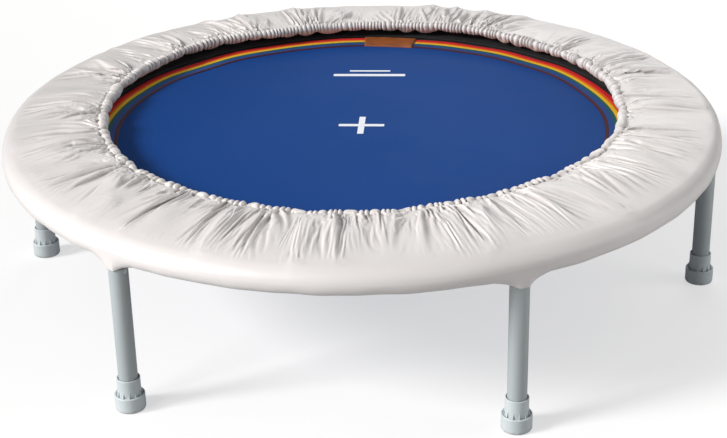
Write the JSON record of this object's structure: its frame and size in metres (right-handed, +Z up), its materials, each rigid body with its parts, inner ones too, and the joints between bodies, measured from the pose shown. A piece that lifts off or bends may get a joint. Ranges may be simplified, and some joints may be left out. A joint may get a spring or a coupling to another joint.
{
  "type": "mini trampoline",
  "caption": "Round mini trampoline with a sprung mat, striped edge webbing, fabric rim cover and folding legs with foot caps.",
  "frame": {"origin": "on the floor under the centre of the mat", "axes": "+Z up; +Y to the back, where the label is; -Y is the front"},
  "size_m": [1.0199, 1.02, 0.2527],
  "materials": {
    "frame_paint": "satin",
    "leg_paint": "satin",
    "pin_steel": "satin",
    "spring_steel": "satin",
    "foot_plastic": "matt",
    "mat_blue": "matt",
    "band_black": "matt",
    "web_red": "matt",
    "web_orange": "matt",
    "web_yellow": "matt",
    "web_teal": "matt",
    "web_blue": "matt",
    "web_maroon": "matt",
    "label_leather": "satin",
    "print_white": "matt",
    "foam": "matt",
    "cover_satin": "satin",
    "elastic_black": "matt"
  },
  "bodies": {
    "frame": {"frame_ring": "frame_paint", "leg_lugs": "frame_paint", "hinge_pins": "pin_steel", "rim_foam": "foam", "rim_cover": "cover_satin", "opening_elastic": "elastic_black", "hem_elastic": "elastic_black", "springs": "spring_steel"},
    "mat": {"jumping_mat": "mat_blue", "mat_border": "band_black", "spring_guard": "band_black", "webbing_maroon": "web_maroon", "webbing_blue": "web_blue", "webbing_teal": "web_teal", "webbing_yellow": "web_yellow", "webbing_orange": "web_orange", "webbing_red": "web_red", "webbing_label": "label_leather", "mat_print": "print_white", "ring_tabs": "band_black", "d_rings": "spring_steel"},
    "leg_front_right": {"leg_tube_front_right": "leg_paint", "foot_cap_front_right": "foot_plastic"},
    "leg_right": {"leg_tube_right": "leg_paint", "foot_cap_right": "foot_plastic"},
    "leg_rear_right": {"leg_tube_rear_right": "leg_paint", "foot_cap_rear_right": "foot_plastic"},
    "leg_rear_left": {"leg_tube_rear_left": "leg_paint", "foot_cap_rear_left": "foot_plastic"},
    "leg_left": {"leg_tube_left": "leg_paint", "foot_cap_left": "foot_plastic"},
    "leg_front_left": {"leg_tube_front_left": "leg_paint", "foot_cap_front_left": "foot_plastic"}
  },
  "joints": [
    {"name": "mat_bounce", "type": "slide", "parent": "frame", "child": "mat", "axis": [0, 0, 1], "range_m": [-0.1, 0], "stiffness_N_per_m": 8000, "deforming": ["springs"]},
    {"name": "fold_front_right", "type": "hinge", "parent": "frame", "child": "leg_front_right", "pos_m": [0.18506, -0.45803, 0.198], "axis": [0.9272, 0.3746, 0], "range_deg": [0, 90]},
    {"name": "fold_right", "type": "hinge", "parent": "frame", "child": "leg_right", "pos_m": [0.48919, -0.06875, 0.198], "axis": [0.1392, 0.9903, 0], "range_deg": [0, 90]},
    {"name": "fold_rear_right", "type": "hinge", "parent": "frame", "child": "leg_rear_right", "pos_m": [0.30414, 0.38928, 0.198], "axis": [-0.788, 0.6157, 0], "range_deg": [0, 90]},
    {"name": "fold_rear_left", "type": "hinge", "parent": "frame", "child": "leg_rear_left", "pos_m": [-0.18506, 0.45803, 0.198], "axis": [-0.9272, -0.3746, 0], "range_deg": [0, 90]},
    {"name": "fold_left", "type": "hinge", "parent": "frame", "child": "leg_left", "pos_m": [-0.48919, 0.06875, 0.198], "axis": [-0.1392, -0.9903, 0], "range_deg": [0, 90]},
    {"name": "fold_front_left", "type": "hinge", "parent": "frame", "child": "leg_front_left", "pos_m": [-0.30414, -0.38928, 0.198], "axis": [0.788, -0.6157, 0], "range_deg": [0, 90]}
  ]
}
